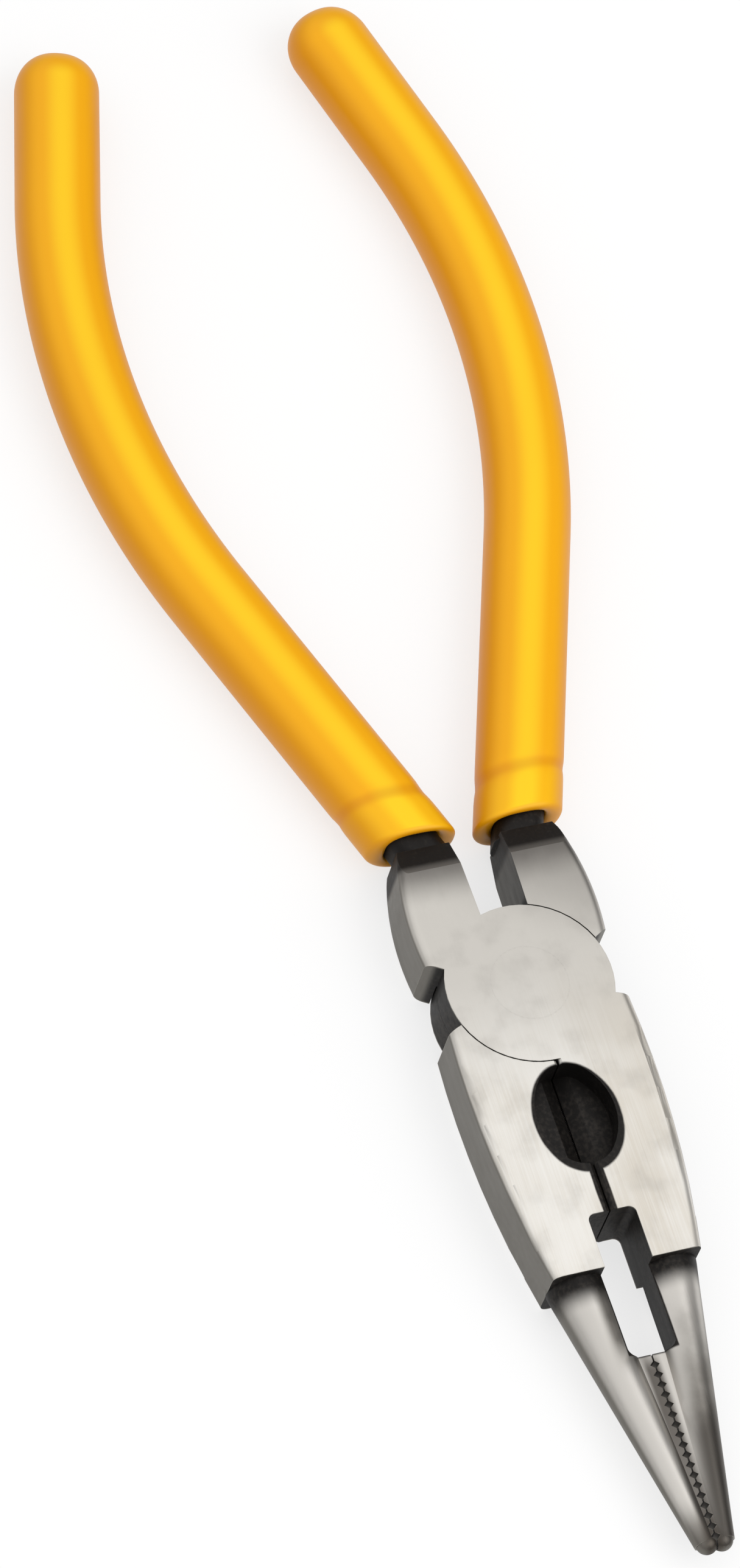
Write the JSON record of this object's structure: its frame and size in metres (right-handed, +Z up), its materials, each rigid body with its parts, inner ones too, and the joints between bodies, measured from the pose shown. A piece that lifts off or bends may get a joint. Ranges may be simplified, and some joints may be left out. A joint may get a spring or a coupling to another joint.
{
  "type": "needle nose pliers",
  "caption": "Long nose pliers with a riveted lap joint, cutter pocket, crimping slot, toothed half-round nose and dipped plastic grips.",
  "frame": {"origin": "on the pivot axis, at the lower ground face that the closed pliers lie on", "axes": "+X along the closed jaws towards the tip, +Z up out of the upper ground face, +Y towards the front half's jaw"},
  "size_m": [0.2143, 0.0642, 0.0094],
  "materials": {
    "forged_steel": "satin ground faces, blackened recesses and tangs",
    "rivet_steel": "ground flush with the faces",
    "dipped_plastic": "smooth dipped vinyl"
  },
  "bodies": {
    "rear_half": {"rear_half": "forged_steel", "right_grip": "dipped_plastic"},
    "front_half": {"front_half": "forged_steel", "left_grip": "dipped_plastic", "pivot_rivet": "rivet_steel"}
  },
  "joints": [
    {"name": "pivot", "type": "hinge", "parent": "rear_half", "child": "front_half", "pos_m": [0, 0, 0.0047], "axis": [0, 0, 1], "range_deg": [0, 40]}
  ]
}
